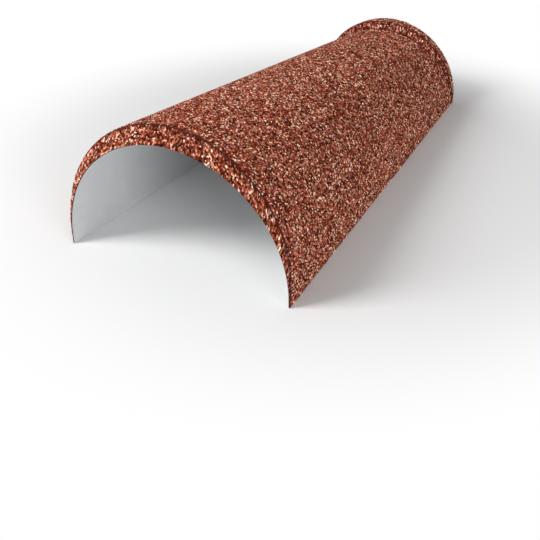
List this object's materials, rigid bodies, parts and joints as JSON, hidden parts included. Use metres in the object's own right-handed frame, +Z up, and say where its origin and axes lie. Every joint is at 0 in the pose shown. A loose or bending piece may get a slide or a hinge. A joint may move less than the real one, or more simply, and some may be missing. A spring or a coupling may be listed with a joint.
{
  "type": "roof ridge cap",
  "caption": "Tapered half-round roof ridge cap of chip-coated pressed steel, with a turned-down nose at the wide mouth and a raised collar at the narrow tail.",
  "frame": {"origin": "on the ground, in the middle of the rectangle that the cap covers", "axes": "+Y from the wide mouth to the narrow tail, +Z up, +X to the right when looking into the mouth"},
  "size_m": [0.2, 0.42, 0.1198],
  "materials": {
    "chip_coat": "rough mixed stone chips, brick red to buff with dark flecks, on pressed steel",
    "primed_steel": "thin pale grey primer on the steel's underside, bare along the cut edges"
  },
  "bodies": {
    "root": {"ridge_cap": "chip_coat"}
  },
  "joints": []
}
